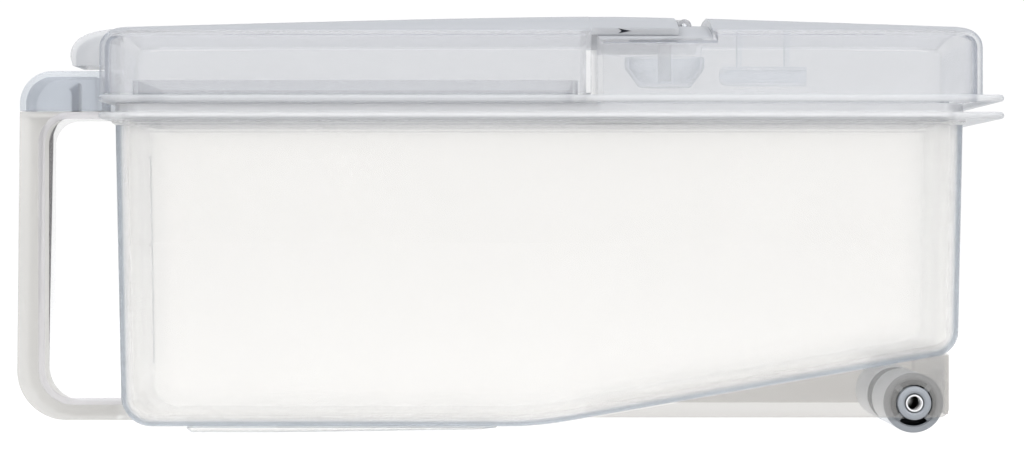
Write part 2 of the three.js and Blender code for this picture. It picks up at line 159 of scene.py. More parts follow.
def smooth(obj):
    obj.data.polygons.foreach_set("use_smooth", [True] * len(obj.data.polygons))
    obj.data.set_sharp_from_angle(angle=math.radians(SMOOTH_ANGLE))


def apply_modifiers(obj):
    depsgraph = bpy.context.evaluated_depsgraph_get()
    mesh = bpy.data.meshes.new_from_object(obj.evaluated_get(depsgraph))
    obj.modifiers.clear()
    old = obj.data
    obj.data = mesh
    bpy.data.meshes.remove(old)


def combine(obj, other, operation):
    """Cuts or joins obj with other, and removes other."""
    modifier = obj.modifiers.new("combine", "BOOLEAN")
    modifier.operation = operation
    modifier.solver = "EXACT"
    modifier.object = other
    apply_modifiers(obj)
    bpy.data.objects.remove(other)
    return obj


def join_all(obj, *others):
    for other in others:
        combine(obj, other, "UNION")
    return obj


def cut_all(obj, *others):
    for other in others:
        combine(obj, other, "DIFFERENCE")
    return obj


def soften(obj, width=0.35, segments=3, angle=38.0):
    """Rounds the sharp edges left by the mould's parting and cuts."""
    bm = bmesh.new()
    bm.from_mesh(obj.data)
    bmesh.ops.remove_doubles(bm, verts=bm.verts, dist=2e-6)
    bmesh.ops.dissolve_degenerate(bm, edges=bm.edges, dist=2e-6)
    bm.to_mesh(obj.data)
    bm.free()
    bevel = obj.modifiers.new("edges", "BEVEL")
    bevel.width = width * MM
    bevel.segments = segments
    bevel.limit_method = "ANGLE"
    bevel.angle_limit = math.radians(angle)
    bevel.use_clamp_overlap = True
    bevel.harden_normals = False
    apply_modifiers(obj)
    smooth(obj)
    return obj


def arc(cx, cy, radius, start, end, steps):
    """Points on an arc, in degrees, counted from the first axis."""
    points = []
    for i in range(steps + 1):
        a = math.radians(start + (end - start) * i / steps)
        points.append((cx + radius * math.cos(a), cy + radius * math.sin(a)))
    return points


def prism(name, outline, y0, y1):
    """An outline in the XZ plane, carried from y0 to y1."""
    count = len(outline)
    verts = [(x, y0, z) for x, z in outline] + [(x, y1, z) for x, z in outline]
    faces = [tuple(range(count)), tuple(range(2 * count - 1, count - 1, -1))]
    faces += [(i, (i + 1) % count, count + (i + 1) % count, count + i) for i in range(count)]
    return new_object(name, verts, faces)


def block(name, x0, x1, y0, y1, z0, z1):
    return prism(name, [(x0, z0), (x1, z0), (x1, z1), (x0, z1)], y0, y1)


def rod(name, radius, y0, y1, x, z, steps=48):
    """A round bar along Y."""
    return prism(name, arc(x, z, radius, 0, 360 - 360 / steps, steps - 1), y0, y1)


def turned(name, profile, centre, axis, steps=64, closed=True):
    """A turned body: (radius, along) pairs about a line through centre along X, Y or Z. A profile that isn't
    closed starts and ends on that line."""
    verts, faces = [], []
    rows = len(profile)
    for j in range(steps):
        a = 2 * math.pi * j / steps
        for radius, along in profile:
            u, v = radius * math.cos(a), radius * math.sin(a)
            place = {"X": (along, u, v), "Y": (u, along, v), "Z": (u, v, along)}[axis]
            verts.append(Vector(place) + Vector(centre))
    links = rows if closed else rows - 1
    for j in range(steps):
        for i in range(links):
            a, b = j * rows + i, j * rows + (i + 1) % rows
            c, d = ((j + 1) % steps) * rows + (i + 1) % rows, ((j + 1) % steps) * rows + i
            faces.append((a, b, c, d))
    return new_object(name, verts, faces)


# A ring is a rounded rectangle in plan. Its points run from the middle of the front edge, along the -Y side,
# to the middle of the rear edge, and back along the +Y side, so that each point has a mirror point.
EDGE_STEPS = 7
CORNER_STEPS = 9
SIDE_STEPS = 72
STEP_REACH = 0.06


def side_places(start, end, step):
    if step is None:
        return [start + (end - start) * i / SIDE_STEPS for i in range(SIDE_STEPS)]
    before = SIDE_STEPS // 3
    after = SIDE_STEPS - before
    places = [start + (step - STEP_REACH - start) * i / (before - 1) for i in range(before)]
    return places + [step + STEP_REACH + (end - step - STEP_REACH) * i / after for i in range(after)]


def ring(insets, rect, corner, height, radius_drop=0.0, step=None):
    """insets are (front, side, rear). height takes (x, y, radius share) and gives z for a point of the ring.
    Two of the side points lie close before and behind step, if it is given."""
    x0, x1, half = rect
    x0, x1, half = x0 + insets[0], x1 - insets[2], half - insets[1]
    front_r, rear_r = (max(c - radius_drop, 0.25) for c in corner)
    points = []
    for i in range(EDGE_STEPS):
        points.append((x0, -(half - front_r) * i / EDGE_STEPS, (1, 0, 0)))
    for i in range(CORNER_STEPS):
        a = math.pi / 2 * i / CORNER_STEPS
        share = i / CORNER_STEPS
        points.append((x0 + front_r * (1 - math.cos(a)), -(half - front_r) - front_r * math.sin(a),
                       (1 - share, share, 0)))
    for x in side_places(x0 + front_r, x1 - rear_r, step):
        points.append((x, -half, (0, 1, 0)))
    for i in range(CORNER_STEPS):
        a = math.pi / 2 * i / CORNER_STEPS
        share = i / CORNER_STEPS
        points.append((x1 - rear_r + rear_r * math.sin(a), -(half - rear_r) - rear_r * math.cos(a),
                       (0, 1 - share, share)))
    for i in range(EDGE_STEPS + 1):
        points.append((x1, -(half - rear_r) * (1 - i / EDGE_STEPS), (0, 0, 1)))
    side = [(x, y, height(x, y, w)) for x, y, w in points]
    return side + [(x, -y, z) for x, y, z in side[-2:0:-1]]


def stack(name, rings, closed=False):
    """A closed body through rings: capped at both ends, or joined from the last ring back to the first."""
    size = len(rings[0])
    verts = [p for r in rings for p in r]
    faces = []
    for j in range(len(rings) if closed else len(rings) - 1):
        here, there = j * size, ((j + 1) % len(rings)) * size
        for i in range(size):
            k = (i + 1) % size
            faces.append((here + i, here + k, there + k, there + i))
    if not closed:
        for base in (0, (len(rings) - 1) * size):
            for i in range(size // 2):
                near, far = (base + i, base + i + 1), (base + (size - i - 1) % size, base + (size - i) % size)
                quad = [near[0], near[1], far[0], far[1]]
                faces.append(tuple(dict.fromkeys(quad)))
    return new_object(name, verts, faces)


# ---------------------------------------------------------------- shapes shared by several pieces

def floor_height(x):
    past = x - SLOPE_START
    if past <= -SLOPE_BLEND:
        return TUB_BOTTOM
    if past >= SLOPE_BLEND:
        return TUB_BOTTOM + SLOPE_RISE * past
    return TUB_BOTTOM + SLOPE_RISE * (past + SLOPE_BLEND) ** 2 / (4 * SLOPE_BLEND)


def drafted(points):
    """The mould's draft: everything below the rim narrows a little towards the bottom."""
    middle = (TUB_FRONT + TUB_REAR) / 2
    moved = []
    for x, y, z in points:
        depth = max(RIM_HIGH - z, 0)
        moved.append((middle + (x - middle) * (1 - LENGTH_DRAFT * depth), y * (1 - WIDTH_DRAFT * depth), z))
    return moved


def crest_at(x):
    if x < CREST_X:
        return CREST - CREST_DROP * ((CREST_X - x) / (CREST_X - FLANGE_FRONT)) ** 1.5
    return CREST - CREST_DROP * ((x - CREST_X) / (LID_REAR - CREST_X)) ** 1.3


def crown_at(x, y):
    across = min(abs(y) / CROWN_HALF, 1)
    return SHOULDER + (crest_at(x) - SHOULDER) * (1 - across * across)


def tub_rings(inset, from_floor=True, fillet_steps=9):
    """Rings of the tub's outer or inner skin, from the middle of the floor up to the rim."""
    rect = (TUB_FRONT + inset, TUB_REAR - inset, TUB_HALF - inset)
    corner = (PLAN_CORNER - inset, PLAN_CORNER - inset)
    radii = [f - inset for f in FILLETS]
    rings = []
    for extra in (40, 20, 6):
        insets = [r + extra for r in radii]
        rings.append(ring(insets, rect, corner, lambda x, y, w: floor_height(x) + inset, PLAN_CORNER))
    for k in range(fillet_steps + 1):
        a = math.pi / 2 * (1 - k / fillet_steps)
        insets = [r * (1 - math.cos(a)) for r in radii]

        def rise(x, y, w, a=a):
            radius = sum(r * share for r, share in zip(radii, w))
            return floor_height(x) + inset + radius * (1 - math.sin(a))

        rings.append(ring(insets, rect, corner, rise, radii[1] * (1 - math.cos(a))))
    for k in range(1, 6):
        def wall(x, y, w, share=k / 5):
            radius = sum(r * s for r, s in zip(radii, w))
            low = floor_height(x) + inset + radius
            return low + (WALL_TOP - low) * share

        rings.append(ring((0, 0, 0), rect, corner, wall))
    rings = [drafted(r) for r in rings]
    return rings if from_floor else rings[::-1]


def shrunk(rect, inset):
    return rect[0] + inset, rect[1] - inset, rect[2] - inset


def flat_ring(rect, corner, z):
    return ring((0, 0, 0), rect, (corner, corner), lambda x, y, w: z)


def round_tip(rect, corner, z0, z1, steps=6):
    """Rings round the full-round outer edge of a flange, from z0 to z1."""
    radius = abs(z1 - z0) / 2
    middle = (z0 + z1) / 2
    rings = []
    for i in range(steps + 1):
        a = math.pi * i / steps
        reach = radius * (1 - math.sin(a))
        z = middle + (z0 - middle) * math.cos(a)
        rings.append(flat_ring(shrunk(rect, reach), corner - reach, z))
    return rings


FLANGE_RECT = (FLANGE_FRONT, FLANGE_REAR, FLANGE_HALF)
FLANGE_CORNER = 6


def dome_rings(x0, x1, inset, low, ends, shelf_end=None):
    """Rings of a dome's skin, from its lower edge up to the middle of its crown. ends says which are rounded.
    Before shelf_end the crown lies lower by SHELF_DEPTH."""
    rect = (x0 + inset, x1 - inset, DOME_HALF - inset)
    corner = tuple(DOME_CORNER - inset if e else 0.3 for e in ends)
    radii = [
        END_FILLET - inset if ends[0] else 0.4,
        max(SHOULDER_FILLET - inset, 0.8),
        END_FILLET - inset if ends[1] else 0.4,
    ]

    def top_at(x, y):
        drop = SHELF_DEPTH if shelf_end is not None and x < shelf_end else 0
        return crown_at(x, y) - inset - drop

    rings = []
    for share in (0, 0.33, 0.66):
        def wall(x, y, w, share=share):
            radius = sum(r * s for r, s in zip(radii, w))
            return low + (top_at(x, y) - radius - low) * share

        rings.append(ring((0, 0, 0), rect, corner, wall, 0, shelf_end))
    steps = 7
    for k in range(steps + 1):
        a = math.pi / 2 * k / steps
        insets = [r * (1 - math.cos(a)) for r in radii]

        def shoulder(x, y, w, a=a):
            radius = sum(r * s for r, s in zip(radii, w))
            return top_at(x, y) - radius * (1 - math.sin(a))

        rings.append(ring(insets, rect, corner, shoulder, radii[1] * (1 - math.cos(a)), shelf_end))
    for extra in (4, 9, 16, 26, 38, 52):
        insets = [
            radii[0] + (extra if ends[0] else extra * 0.02),
            radii[1] + extra,
            radii[2] + (extra if ends[1] else extra * 0.02),
        ]
        rings.append(ring(insets, rect, corner, lambda x, y, w: top_at(x, y), radii[1], shelf_end))
    return rings


# ---------------------------------------------------------------- materials

def material(name):
    mat = bpy.data.materials.new(name)
    mat.use_nodes = True
    tree = mat.node_tree
    shader = next(n for n in tree.nodes if n.type == "BSDF_PRINCIPLED")
    return mat, tree, shader


def add_node(tree, kind, **values):
    node = tree.nodes.new(kind)
    for key, value in values.items():
        if key in node.inputs:
            node.inputs[key].default_value = value
        else:
            setattr(node, key, value)
    return node


def object_noise(tree, scale, detail=3.0):
    where = add_node(tree, "ShaderNodeTexCoord")
    noise = add_node(tree, "ShaderNodeTexNoise", Scale=scale, Detail=detail)
    tree.links.new(where.outputs["Object"], noise.inputs["Vector"])
    return noise


def spread(tree, source, low, high):
    node = add_node(tree, "ShaderNodeMapRange")
    node.inputs["To Min"].default_value = low
    node.inputs["To Max"].default_value = high
    tree.links.new(source, node.inputs["Value"])
    return node.outputs["Result"]


def bump(tree, shader, noise, strength, distance):
    node = add_node(tree, "ShaderNodeBump", Strength=strength, Distance=distance)
    tree.links.new(noise.outputs[0], node.inputs["Height"])
    tree.links.new(node.outputs["Normal"], shader.inputs["Normal"])


def times(tree, first, second):
    node = add_node(tree, "ShaderNodeMath", operation="MULTIPLY")
    tree.links.new(first, node.inputs[0])
    tree.links.new(second, node.inputs[1])
    return node.outputs[0]


def edge_share(tree, start, end, seen_from):
    """0 where a face looks at the viewer, 1 where it is seen edge-on. seen_from limits this to faces seen
    from "outside" or from "within" the plastic, or it is "both"."""
    facing = add_node(tree, "ShaderNodeLayerWeight", Blend=0.5)
    edge = add_node(tree, "ShaderNodeMapRange", interpolation_type="SMOOTHSTEP")
    edge.inputs["From Min"].default_value = start
    edge.inputs["From Max"].default_value = end
    tree.links.new(facing.outputs["Facing"], edge.inputs["Value"])
    if seen_from == "both":
        return edge.outputs["Result"]
    # Fresnel reaches 1 only on faces seen from within, which reflect everything at flat angles
    blend, fresnel_range, result_range = {
        "outside": (0.3, (0.93, 1.0), (1.0, 0.0)),
        "within": (0.7, (0.6, 0.95), (0.0, 1.0)),
    }[seen_from]
    glance = add_node(tree, "ShaderNodeLayerWeight", Blend=blend)
    side = add_node(tree, "ShaderNodeMapRange")
    side.inputs["From Min"].default_value, side.inputs["From Max"].default_value = fresnel_range
    side.inputs["To Min"].default_value, side.inputs["To Max"].default_value = result_range
    tree.links.new(glance.outputs["Fresnel"], side.inputs["Value"])
    return times(tree, edge.outputs["Result"], side.outputs["Result"])


def frosted_plastic(
    name, clear, haze, rim, share, window, roughness, glassy, sheen=0.5, seen_from="outside"
):
    """Frosted polypropylene. Some light passes straight through, tinted by clear; the rest is scattered by
    the hazy surface. share says how much is scattered head-on and edge-on, and the haze takes the rim colour
    at the edge-on end of window. glassy is how much light the haze lets through, and sheen is its gloss."""
    mat, tree, shader = material(name)
    shader.inputs["Transmission Weight"].default_value = glassy
    shader.inputs["IOR"].default_value = 1.4
    shader.inputs["Specular IOR Level"].default_value = sheen
    edge = edge_share(tree, *window, seen_from)
    mix = add_node(tree, "ShaderNodeMix", data_type="RGBA")
    mix.inputs["A"].default_value = (*haze, 1)
    mix.inputs["B"].default_value = (*rim, 1)
    tree.links.new(edge, mix.inputs["Factor"])
    clouds = object_noise(tree, 38.0)
    cloudy = add_node(tree, "ShaderNodeMix", data_type="RGBA", blend_type="MULTIPLY")
    cloudy.inputs["Factor"].default_value = 1.0
    tree.links.new(mix.outputs["Result"], cloudy.inputs["A"])
    tree.links.new(spread(tree, clouds.outputs[0], 0.97, 1.0), cloudy.inputs["B"])
    tree.links.new(cloudy.outputs["Result"], shader.inputs["Base Color"])
    tree.links.new(spread(tree, clouds.outputs[0], roughness * 0.85, roughness * 1.15),
                   shader.inputs["Roughness"])
    bump(tree, shader, object_noise(tree, 1400.0, 1.0), 0.02, 0.0002)
    through = add_node(tree, "ShaderNodeBsdfTransparent")
    through.inputs["Color"].default_value = (*clear, 1)
    blend = add_node(tree, "ShaderNodeMixShader")
    output = next(n for n in tree.nodes if n.type == "OUTPUT_MATERIAL")
    tree.links.new(spread(tree, edge, *share), blend.inputs["Fac"])
    tree.links.new(through.outputs[0], blend.inputs[1])
    tree.links.new(shader.outputs[0], blend.inputs[2])
    tree.links.new(blend.outputs[0], output.inputs["Surface"])
    return mat


def clear_strip(mat, slope, level, blur):
    """Leaves the material clear above a sloping line. level is the line's height at x = 0, and blur is half
    the height over which the material fades."""
    tree = mat.node_tree
    blend = next(n for n in tree.nodes if n.type == "MIX_SHADER")
    share = blend.inputs["Fac"].links[0].from_socket
    where = add_node(tree, "ShaderNodeTexCoord")
    split = add_node(tree, "ShaderNodeSeparateXYZ")
    tree.links.new(where.outputs["Object"], split.inputs[0])
    line = add_node(tree, "ShaderNodeMath", operation="MULTIPLY_ADD")
    line.inputs[1].default_value = -slope
    tree.links.new(split.outputs["X"], line.inputs[0])
    tree.links.new(split.outputs["Z"], line.inputs[2])
    below = add_node(tree, "ShaderNodeMapRange", interpolation_type="SMOOTHSTEP")
    below.inputs["From Min"].default_value = (level - blur) * MM
    below.inputs["From Max"].default_value = (level + blur) * MM
    below.inputs["To Min"].default_value = 1.0
    below.inputs["To Max"].default_value = 0.04
    tree.links.new(line.outputs[0], below.inputs["Value"])
    tree.links.new(times(tree, share, below.outputs["Result"]), blend.inputs["Fac"])
    through = next(n for n in tree.nodes if n.type == "BSDF_TRANSPARENT")
    tint = add_node(tree, "ShaderNodeMix", data_type="RGBA")
    tint.inputs["A"].default_value = (0.99, 0.99, 0.99, 1)
    tint.inputs["B"].default_value = through.inputs["Color"].default_value
    tree.links.new(below.outputs["Result"], tint.inputs["Factor"])
    tree.links.new(tint.outputs["Result"], through.inputs["Color"])


def solid_plastic(name, colour, darker, roughness, sheen=0.5):
    mat, tree, shader = material(name)
    shader.inputs["Specular IOR Level"].default_value = sheen
    clouds = object_noise(tree, 55.0)
    mix = add_node(tree, "ShaderNodeMix", data_type="RGBA")
    mix.inputs["A"].default_value = (*colour, 1)
    mix.inputs["B"].default_value = (*darker, 1)
    tree.links.new(clouds.outputs[0], mix.inputs["Factor"])
    tree.links.new(mix.outputs["Result"], shader.inputs["Base Color"])
    rough = spread(tree, clouds.outputs[0], roughness * 0.8, roughness * 1.2)
    tree.links.new(rough, shader.inputs["Roughness"])
    bump(tree, shader, object_noise(tree, 900.0, 2.0), 0.12, 0.0002)
    return mat


def steel(name):
    mat, tree, shader = material(name)
    shader.inputs["Metallic"].default_value = 1.0
    where = add_node(tree, "ShaderNodeTexCoord")
    stretch = add_node(tree, "ShaderNodeMapping", Scale=(60, 900, 60))
    noise = add_node(tree, "ShaderNodeTexNoise", Scale=3.0, Detail=2.0)
    tree.links.new(where.outputs["Object"], stretch.inputs["Vector"])
    tree.links.new(stretch.outputs["Vector"], noise.inputs["Vector"])
    mix = add_node(tree, "ShaderNodeMix", data_type="RGBA")
    mix.inputs["A"].default_value = (0.94, 0.94, 0.93, 1)
    mix.inputs["B"].default_value = (0.86, 0.86, 0.87, 1)
    tree.links.new(noise.outputs[0], mix.inputs["Factor"])
    tree.links.new(mix.outputs["Result"], shader.inputs["Base Color"])
    tree.links.new(spread(tree, noise.outputs[0], 0.12, 0.28), shader.inputs["Roughness"])
    return mat


TUB_PLASTIC = frosted_plastic(
    "tub_plastic",
    clear=(0.966, 0.961, 0.953), haze=(0.92, 0.915, 0.905), rim=(0.3, 0.35, 0.41),
    share=(0.45, 1.0), window=(0.15, 0.5), roughness=0.25, glassy=0.85,
)
TUB_INSIDE = frosted_plastic(
    "tub_inside",
    clear=(0.966, 0.961, 0.953), haze=(0.93, 0.925, 0.915), rim=(0.95, 0.945, 0.935),
    share=(0.45, 0.55), window=(0.3, 0.8), roughness=0.25, glassy=0.85,
)
TUB_FLANGE = frosted_plastic(
    "tub_flange",
    clear=(0.94, 0.942, 0.947), haze=(0.58, 0.585, 0.6), rim=(0.5, 0.515, 0.535),
    share=(0.45, 0.8), window=(0.4, 0.95), roughness=0.35, glassy=0.3,
)
LID_FLANGE = frosted_plastic(
    "lid_flange",
    clear=(0.94, 0.942, 0.947), haze=(0.64, 0.645, 0.657), rim=(0.52, 0.535, 0.555),
    share=(0.45, 0.8), window=(0.4, 0.95), roughness=0.35, glassy=0.3,
)
SKIRT_PLASTIC = frosted_plastic(
    "skirt_plastic",
    clear=(0.8, 0.791, 0.778), haze=(0.76, 0.75, 0.735), rim=(0.5, 0.52, 0.55),
    share=(0.2, 0.6), window=(0.3, 0.9), roughness=0.2, glassy=0.3,
)
clear_strip(SKIRT_PLASTIC, SLOPE_RISE, TUB_BOTTOM - SLOPE_RISE * SLOPE_START + 0.3, 0.5)
LID_PLASTIC = frosted_plastic(
    "lid_plastic",
    clear=(0.89, 0.893, 0.9), haze=(0.86, 0.864, 0.875), rim=(0.36, 0.385, 0.42),
    share=(0.18, 0.8), window=(0.3, 0.8), roughness=0.25, glassy=0.5, sheen=0.3,
)
LID_INSIDE = frosted_plastic(
    "lid_inside",
    clear=(0.9, 0.902, 0.908), haze=(0.82, 0.822, 0.83), rim=(0.07, 0.1, 0.16),
    share=(0.18, 0.9), window=(0.02, 0.55), roughness=0.25, glassy=0.5, sheen=0.5, seen_from="within",
)
# Painted shade: a darker copy of the lid plastic for the crown's upward faces, so that the top stays grey
# under the strong light from above
LID_TOP_PAINTED_SHADE = frosted_plastic(
    "lid_top_painted_shade",
    clear=(0.78, 0.785, 0.8), haze=(0.42, 0.426, 0.44), rim=(0.36, 0.366, 0.38),
    share=(0.5, 0.95), window=(0.3, 0.9), roughness=0.6, glassy=0.0, sheen=0.05,
)
LID_CROWN_INSIDE = frosted_plastic(
    "lid_crown_inside",
    clear=(0.97, 0.97, 0.972), haze=(0.95, 0.952, 0.96), rim=(0.95, 0.955, 0.965),
    share=(0.2, 0.75), window=(0.3, 0.9), roughness=0.12, glassy=0.95,
)
VENT_PLASTIC = frosted_plastic(
    "vent_plastic",
    clear=(0.975, 0.982, 0.99), haze=(0.95, 0.965, 0.985), rim=(0.45, 0.53, 0.63),
    share=(0.06, 0.6), window=(0.35, 0.9), roughness=0.2, glassy=0.95,
)
HANDLE_PLASTIC = frosted_plastic(
    "handle_plastic",
    clear=(0.83, 0.825, 0.81), haze=(0.7, 0.69, 0.675), rim=(0.6, 0.6, 0.61),
    share=(0.5, 0.9), window=(0.3, 0.9), roughness=0.3, glassy=0.5,
)
GRIP_PLASTIC = frosted_plastic(
    "grip_plastic",
    clear=(0.8, 0.79, 0.8), haze=(0.66, 0.645, 0.66), rim=(0.5, 0.49, 0.52),
    share=(0.6, 0.8), window=(0.3, 0.75), roughness=0.25, glassy=0.4,
)
NEARLY_CLEAR = frosted_plastic(
    "grip_inside",
    clear=(0.998, 0.998, 0.998), haze=(0.9, 0.895, 0.89), rim=(0.97, 0.97, 0.97),
    share=(0.4, 0.0), window=(0.35, 0.8), roughness=0.25, glassy=0.4, seen_from="both",
)
CAP_PLASTIC = frosted_plastic(
    "cap_plastic",
    clear=(0.84, 0.857, 0.88), haze=(0.7, 0.72, 0.745), rim=(0.3, 0.33, 0.38),
    share=(0.35, 0.95), window=(0.3, 0.75), roughness=0.2, glassy=0.5,
)
SILICONE = solid_plastic("silicone", (0.95, 0.95, 0.95), (0.9, 0.905, 0.91), 0.5)
ROLLER_PLASTIC = solid_plastic("roller_plastic", (0.26, 0.275, 0.295), (0.21, 0.225, 0.245), 0.42)
STEEL = steel("stainless")
# Painted light: a much lighter colour than the roller's own, for its long barrel, so that the shade it sits
# in behind the skirt doesn't show through
BARREL_PAINTED_LIGHT = solid_plastic("barrel_painted_light", (0.8, 0.82, 0.85), (0.74, 0.76, 0.79), 0.5)
# Painted shade: a near-black colour for the walls of the roller's deep slots, standing in for the shade
# inside them
SLOT_PAINTED_SHADE = solid_plastic("slot_painted_shade", (0.03, 0.045, 0.055), (0.02, 0.03, 0.04), 0.5)
HOOK_PLASTIC = solid_plastic("hook_plastic", (0.06, 0.08, 0.13), (0.09, 0.11, 0.16), 0.3)
DARK_PRINT = solid_plastic("dark_print", (0.006, 0.007, 0.01), (0.012, 0.014, 0.018), 0.7, 0.1)
SCALE_PLASTIC = solid_plastic("scale_plastic", (0.32, 0.35, 0.39), (0.28, 0.31, 0.35), 0.4)


def place(obj, body, mat, slot, *nodes):
    """Gives a piece its material and its body, and hides the CAD nodes that it stands for. slot is not used.
    """
    obj.data.materials.clear()
    obj.data.materials.append(mat)
    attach(obj, body)
    if nodes:
        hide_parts(*nodes)
    return obj


def face_with(obj, mat, chosen):
    """Gives the faces for which chosen(centre, normal) holds, in millimetres, a material of their own."""
    obj.data.materials.append(mat)
    index = len(obj.data.materials) - 1
    for face in obj.data.polygons:
        if chosen(face.center / MM, face.normal):
            face.material_index = index


# ---------------------------------------------------------------- tub

def build_tub():
    outer = (TUB_FRONT, TUB_REAR, TUB_HALF)
    inner = shrunk(outer, WALL)
    rib = shrunk(outer, -RIB_REACH)
    chamfer, fillet, rib_corner = 0.5, 0.3, 10
    rings = tub_rings(WALL)
    rings.append(flat_ring(inner, PLAN_CORNER - WALL, UPSTAND_TOP - chamfer))
    rings.append(flat_ring(shrunk(inner, -chamfer), PLAN_CORNER - WALL, UPSTAND_TOP))
    rings.append(flat_ring(shrunk(outer, chamfer), PLAN_CORNER, UPSTAND_TOP))
    rings.append(flat_ring(outer, PLAN_CORNER, UPSTAND_TOP - chamfer))
    rings.append(flat_ring(outer, PLAN_CORNER, RIM_HIGH + chamfer))
    rings.append(flat_ring(shrunk(outer, -chamfer), PLAN_CORNER, RIM_HIGH))
    rings += round_tip(FLANGE_RECT, FLANGE_CORNER, RIM_HIGH, RIM_LOW)
    rings.append(flat_ring(shrunk(rib, -fillet), rib_corner + 0.4, RIM_LOW))
    rings.append(flat_ring(rib, rib_corner, RIM_LOW - fillet))
    rings.append(flat_ring(rib, rib_corner, RIB_LOW + fillet))
    rings.append(flat_ring(shrunk(rib, chamfer), rib_corner - 0.4, RIB_LOW))
    rings += tub_rings(0, from_floor=False)
    tub = stack("tub", rings)
    place(tub, "tank", TUB_PLASTIC, "clear_plastic", "tank_tub")
    middle = Vector(((TUB_FRONT + TUB_REAR) / 2, 0, 80))
    face_with(tub, TUB_INSIDE, lambda c, n: n.dot(middle - c) > 0 or c.z > WALL_TOP + 0.1)
    face_with(tub, TUB_FLANGE, lambda c, n: (
        c.z > RIM_LOW - 0.2 and (abs(n.z) > 0.5 or n.dot(middle - c) < 0)))


def tub_plug(grow):
    """A solid of the tub's outer skin, a little larger, to cut its neighbours back with."""
    rings = tub_rings(-grow)
    rings.append(flat_ring(shrunk((TUB_FRONT, TUB_REAR, TUB_HALF), -grow), PLAN_CORNER, RIM_LOW - GAP))
    return stack("plug", rings)


def build_skirts():
    corner = 3.4
    low = SKIRT_LOW.z
    rear = SKIRT_HIGH.x
    front = SKIRT_LOW.x
    # The seat opens downwards through a narrow throat that widens into a funnel
    throat_half, funnel_half = 3.4, 5.4
    chord = math.degrees(math.asin(throat_half / SEAT_R))
    # The panels reach up into the tub, which then cuts them to its own shape
    panel_top = 40
    outline = [(front, low), (ROLLER_X - funnel_half, low)]
    outline += arc(ROLLER_X, ROLLER_Z, SEAT_R, 270 - chord, -90 + chord, 40)
    outline += [(ROLLER_X + funnel_half, low)]
    outline += arc(rear - corner, low + corner, corner, -90, 0, 10)
    outline += [(rear, panel_top), (front, panel_top)]
    for name, side in (("skirt_right", -1), ("skirt_left", 1)):
        y0, y1 = sorted((SKIRT_LOW.y * -side, SKIRT_HIGH.y * -side))
        skirt = prism(name + "_panel", outline, y0, y1)
        cut_all(skirt, tub_plug(GAP))
        soften(skirt, 0.3)
        place(skirt, "tank", SKIRT_PLASTIC, "clear_plastic", name)
    bar_low, bar_high = box_mm("rear_crossbar")
    bar = block("crossbar_panel", bar_low.x, bar_high.x, bar_low.y, bar_high.y, bar_low.z, panel_top)
    cut_all(bar, tub_plug(GAP))
    soften(bar, 0.3)
    place(bar, "tank", SKIRT_PLASTIC, "clear_plastic", "rear_crossbar")


def build_runners():
    for name in ("runner_left", "runner_right"):
        low, high = box_mm(name)
        outline = [
            (low.x, high.z), (low.x + 2, low.z), (low.x + 31, low.z), (high.x - 6, 1), (high.x, high.z)
        ]
        runner = prism(name + "_strip", outline, low.y, high.y)
        soften(runner, 0.4, 3, 10)
        place(runner, "tank", TUB_PLASTIC, "clear_plastic", name)


# ---------------------------------------------------------------- handle

def loop_outline(outward, inward):
    """The handle's outline from the side, moved outwards on its outer side and inwards from its opening."""
    foot, front = LOOP_LOW.z, LOOP_LOW.x
    leg_high, leg_rear = 10.3, -122
    outer_r, inner_r, top_r = 17.5, 10.0, 8.5
    points = [(front - outward + 1, BRIDGE_TOP)]
    points += arc(front + outer_r, foot + outer_r, outer_r + outward, 180, 270, 20)
    points += [(leg_rear, foot - outward), (leg_rear, leg_high - inward)]
    points += arc(GRIP_INNER + inner_r, leg_high + inner_r, inner_r + inward, 270, 180, 16)
    points += arc(GRIP_INNER + top_r, BRIDGE_LOW - top_r, top_r + inward, 180, 90, 14)
    points += [(BRIDGE_END, BRIDGE_LOW + inward), (BRIDGE_END, BRIDGE_TOP + (0.2 if inward else 0))]
    return points


